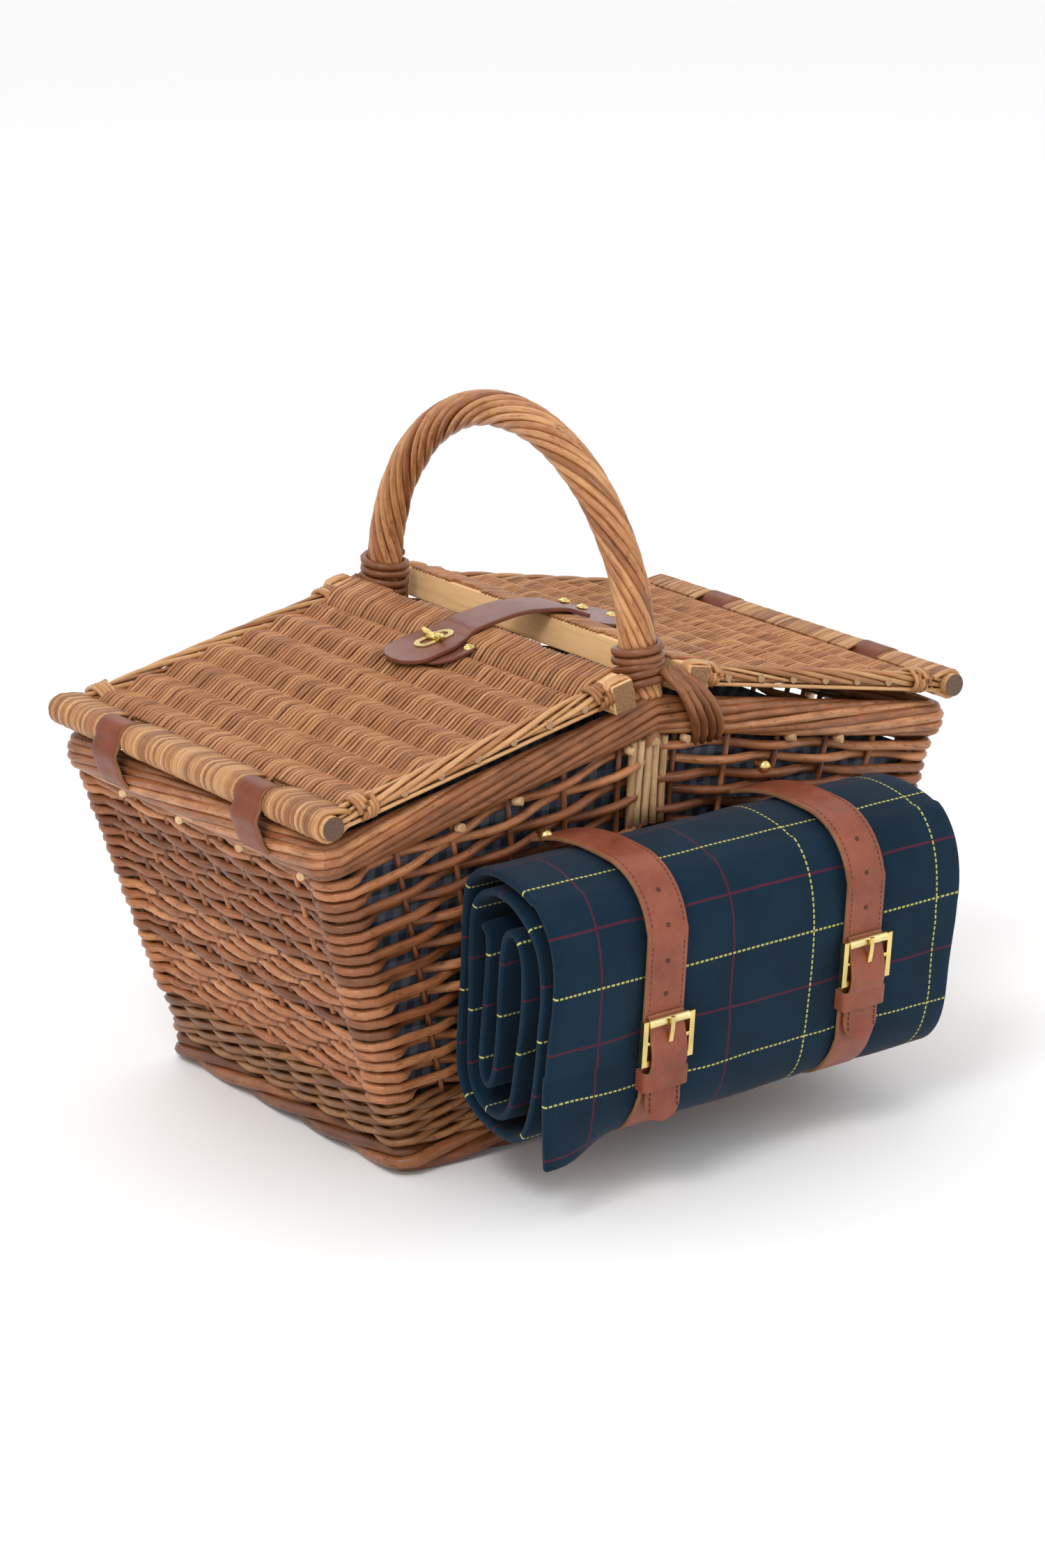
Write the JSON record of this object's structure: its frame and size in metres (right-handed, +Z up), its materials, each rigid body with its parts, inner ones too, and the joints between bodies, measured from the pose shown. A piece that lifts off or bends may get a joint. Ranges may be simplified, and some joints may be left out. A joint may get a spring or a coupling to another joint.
{
  "type": "wicker picnic basket",
  "caption": "Woven willow picnic basket with hinged lids, bow handle, leather turn-lock strap and a folded blanket buckled on its front.",
  "frame": {"origin": "on the ground under the middle of the basket's woven base", "axes": "+X along the basket's length, +Y from the blanket side to the back, +Z up"},
  "size_m": [0.486, 0.4025, 0.4235],
  "materials": {
    "willow_base": "stripped and oiled",
    "willow_foot": "stripped and oiled",
    "willow_waling": "stripped and oiled",
    "willow_wall": "stripped and oiled",
    "willow_post": "peeled",
    "willow_rim": "stripped and oiled",
    "willow_lid": "peeled, satin",
    "willow_stick": "peeled",
    "willow_handle": "peeled, satin",
    "willow_lashing": "peeled, satin",
    "strap_leather": "waxed",
    "loop_leather": "waxed",
    "latch_leather": "waxed",
    "lining_cloth": "plain weave cotton",
    "blanket_cloth": "twill wool check",
    "brass_fittings": "polished"
  },
  "bodies": {
    "basket": {"base_panel": "willow_base", "foot_border": "willow_foot", "waling_band": "willow_waling", "wall_weave": "willow_wall", "corner_posts": "willow_post", "rim_border": "willow_rim", "lining": "lining_cloth", "handle_bow": "willow_handle", "handle_strands": "willow_handle", "handle_bindings": "willow_lashing", "hinge_loops": "loop_leather", "blanket_straps": "strap_leather", "strap_tips": "strap_leather", "strap_studs": "brass_fittings", "buckle_frames": "brass_fittings"},
    "left_lid": {"left_lid_rod": "willow_stick", "left_lid_bar": "willow_stick", "left_lid_sticks": "willow_stick", "left_lid_weave": "willow_lid", "left_lid_lashings": "willow_lashing", "left_lid_patch": "latch_leather", "lock_base": "brass_fittings"},
    "turn_knob": {"turn_knob": "brass_fittings"},
    "right_lid": {"right_lid_rod": "willow_stick", "right_lid_bar": "willow_stick", "right_lid_sticks": "willow_stick", "right_lid_weave": "willow_lid", "right_lid_lashings": "willow_lashing", "right_lid_patch": "latch_leather", "strap_tail": "latch_leather", "lid_rivets": "brass_fittings"},
    "strap_bridge": {"strap_bridge": "latch_leather"},
    "strap_mid": {"strap_mid": "latch_leather"},
    "closure_strap": {"closure_strap": "latch_leather", "eyelet_plate": "brass_fittings"},
    "blanket": {"blanket": "blanket_cloth"},
    "tongue_left": {"buckle_tongue_left": "brass_fittings"},
    "tongue_right": {"buckle_tongue_right": "brass_fittings"},
    "roller_left": {"buckle_roller_left": "brass_fittings"},
    "roller_right": {"buckle_roller_right": "brass_fittings"},
    "keeper_left": {"strap_keeper_left": "strap_leather"},
    "keeper_right": {"strap_keeper_right": "strap_leather"}
  },
  "joints": [
    {"name": "left_lid_hinge", "type": "hinge", "parent": "basket", "child": "left_lid", "pos_m": [-0.232, 0, 0.233], "axis": [0, -1, 0], "range_deg": [0, 110]},
    {"name": "right_lid_hinge", "type": "hinge", "parent": "basket", "child": "right_lid", "pos_m": [0.232, 0, 0.233], "axis": [0, 1, 0], "range_deg": [0, 110]},
    {"name": "strap_bridge_bend", "type": "hinge", "parent": "right_lid", "child": "strap_bridge", "pos_m": [0.016, 0, 0.2872], "axis": [0, 1, 0], "range_deg": [-77, 0]},
    {"name": "strap_mid_bend", "type": "hinge", "parent": "strap_bridge", "child": "strap_mid", "pos_m": [-0.014, 0, 0.2874], "axis": [0, 1, 0], "range_deg": [-88, 0]},
    {"name": "strap_lift", "type": "hinge", "parent": "strap_mid", "child": "closure_strap", "pos_m": [-0.026, 0, 0.2858], "axis": [0, 1, 0], "range_deg": [0, 100]},
    {"name": "turn_knob_turn", "type": "hinge", "parent": "left_lid", "child": "turn_knob", "pos_m": [-0.05618, 0, 0.27428], "axis": [-0.1961, 0, 0.9806], "range_deg": [0, 90]},
    {"name": "blanket_slide", "type": "slide", "parent": "basket", "child": "blanket", "axis": [1, 0, 0], "range_m": [0, 0.26]},
    {"name": "tongue_left_hinge", "type": "hinge", "parent": "basket", "child": "tongue_left", "pos_m": [-0.074, -0.24528, 0.10274], "axis": [1, 0, 0], "range_deg": [0, 100]},
    {"name": "roller_left_spin", "type": "hinge", "parent": "basket", "child": "roller_left", "pos_m": [-0.074, -0.24622, 0.1147], "axis": [1, 0, 0], "continuous": true},
    {"name": "keeper_left_slide", "type": "slide", "parent": "basket", "child": "keeper_left", "axis": [0, -0.078, 0.997], "range_m": [-0.008, 0.004]},
    {"name": "tongue_right_hinge", "type": "hinge", "parent": "basket", "child": "tongue_right", "pos_m": [0.074, -0.24645, 0.11769], "axis": [1, 0, 0], "range_deg": [0, 100]},
    {"name": "roller_right_spin", "type": "hinge", "parent": "basket", "child": "roller_right", "pos_m": [0.074, -0.24739, 0.12966], "axis": [1, 0, 0], "continuous": true},
    {"name": "keeper_right_slide", "type": "slide", "parent": "basket", "child": "keeper_right", "axis": [0, -0.078, 0.997], "range_m": [-0.008, 0.004]}
  ],
  "couplings": [
    {"joint": "strap_bridge_bend", "follows": "right_lid_hinge", "ratio": -0.7},
    {"joint": "strap_mid_bend", "follows": "right_lid_hinge", "ratio": -0.8}
  ]
}
